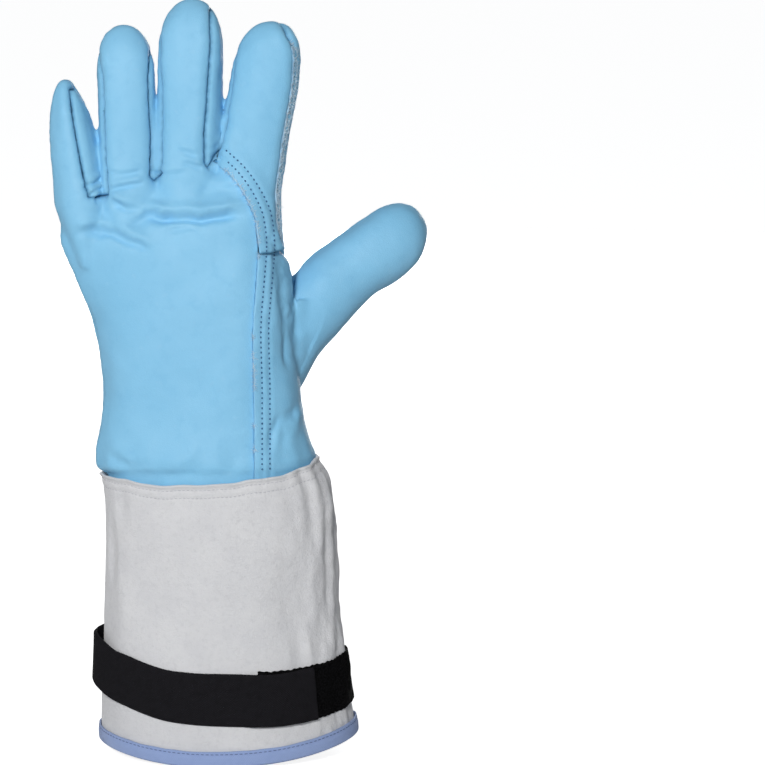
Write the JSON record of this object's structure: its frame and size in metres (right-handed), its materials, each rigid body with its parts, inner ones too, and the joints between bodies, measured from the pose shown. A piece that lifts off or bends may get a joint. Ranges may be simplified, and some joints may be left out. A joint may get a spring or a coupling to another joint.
{
  "type": "cryogenic glove",
  "caption": "Left-hand insulated leather glove with a long flared split-leather cuff, bound hem and a hook-and-loop strap, for handling very cold liquids and parts.",
  "frame": {"origin": "centre of the cuff's mouth, where the hand goes in", "axes": "+Z from the cuff's mouth to the fingertips, +X to the thumb side, -Y the back of the hand, +Y the palm"},
  "size_m": [0.1884, 0.091, 0.3781],
  "materials": {
    "blue_leather": "smooth light blue grain leather, soft sheen",
    "side_leather": "light blue leather with its rough flesh side at the raw edges",
    "split_leather": "grey-white split leather, napped and matt",
    "blue_tape": "blue woven binding tape",
    "black_elastic": "black ribbed elastic webbing",
    "black_hook": "black hook-and-loop tape, rough"
  },
  "bodies": {
    "root": {"back_panel": "blue_leather", "index_panel": "blue_leather", "palm_panel": "blue_leather", "thenar_panel": "blue_leather", "ring_front": "blue_leather", "middle_front": "blue_leather", "thumb_back": "blue_leather", "fork_little_ring": "side_leather", "fork_ring_middle": "side_leather", "fork_middle_index": "side_leather", "index_welt": "side_leather", "cuff": "split_leather", "hem_binding": "blue_tape", "strap": "black_elastic", "hook_patch": "black_hook"}
  },
  "joints": []
}
